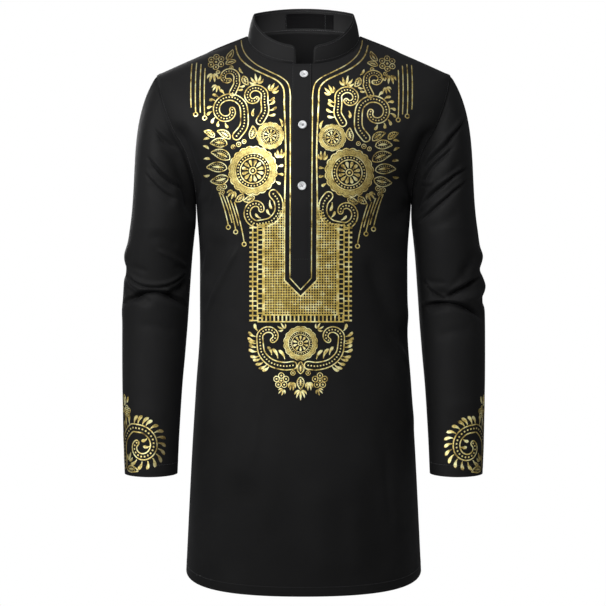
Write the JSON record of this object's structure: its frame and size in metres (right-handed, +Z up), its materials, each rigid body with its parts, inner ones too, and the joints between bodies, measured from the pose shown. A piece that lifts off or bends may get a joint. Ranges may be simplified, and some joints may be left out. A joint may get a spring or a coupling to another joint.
{
  "type": "long printed shirt",
  "caption": "Hip-length worn-form shirt with a stand collar, a half placket with round buttons, set-in long sleeves and a curved hem, open and empty inside.",
  "frame": {"origin": "middle of the neck's base, level with the points where the shoulder seams meet the collar", "axes": "+Z up towards the collar, +Y from the chest to the back, +X to the viewer's right, which is the wearer's left"},
  "size_m": [0.5459, 0.2768, 0.8704],
  "materials": {
    "front": "black woven cloth, soft sheen",
    "back": "black woven cloth, soft sheen",
    "sleeve_left": "black woven cloth, soft sheen",
    "sleeve_right": "black woven cloth, soft sheen",
    "collar": "black woven cloth, two layers",
    "placket": "black woven cloth",
    "button": "pearly white",
    "label": "black satin, blank"
  },
  "bodies": {
    "root": {"front": "front", "back": "back", "sleeve_left": "sleeve_left", "sleeve_right": "sleeve_right", "collar": "collar", "placket": "placket", "button_1": "button", "button_2": "button", "button_3": "button", "neck_label": "label", "size_tab": "label"}
  },
  "joints": []
}
